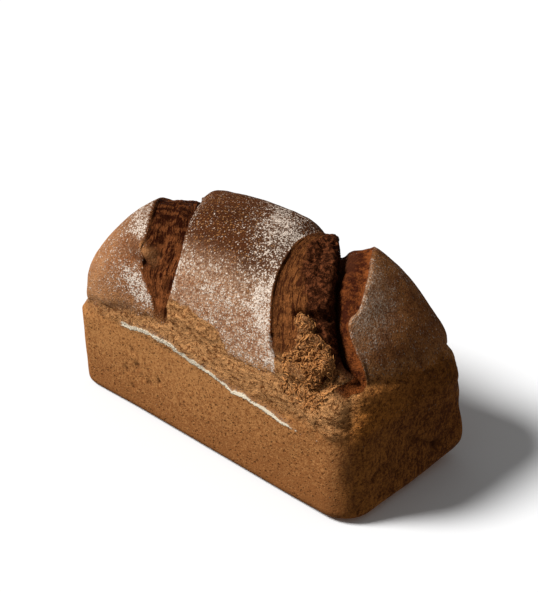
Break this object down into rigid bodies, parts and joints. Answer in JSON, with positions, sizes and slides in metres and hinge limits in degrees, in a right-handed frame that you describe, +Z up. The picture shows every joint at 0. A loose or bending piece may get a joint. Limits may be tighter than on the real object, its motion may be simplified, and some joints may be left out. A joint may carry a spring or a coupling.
{
  "type": "tin loaf",
  "caption": "Brown tin loaf with straight tin-baked walls, a floured domed crust burst open along diagonal cuts, and a shredded band above the rim.",
  "frame": {"origin": "middle of the flat base", "axes": "+Z up, +X along the loaf towards the end with the deep burst cut, -Y towards the front side wall"},
  "size_m": [0.2414, 0.1124, 0.1433],
  "materials": {
    "crust": "matt baked crust dusted with flour"
  },
  "bodies": {
    "root": {"loaf": "crust"}
  },
  "joints": []
}
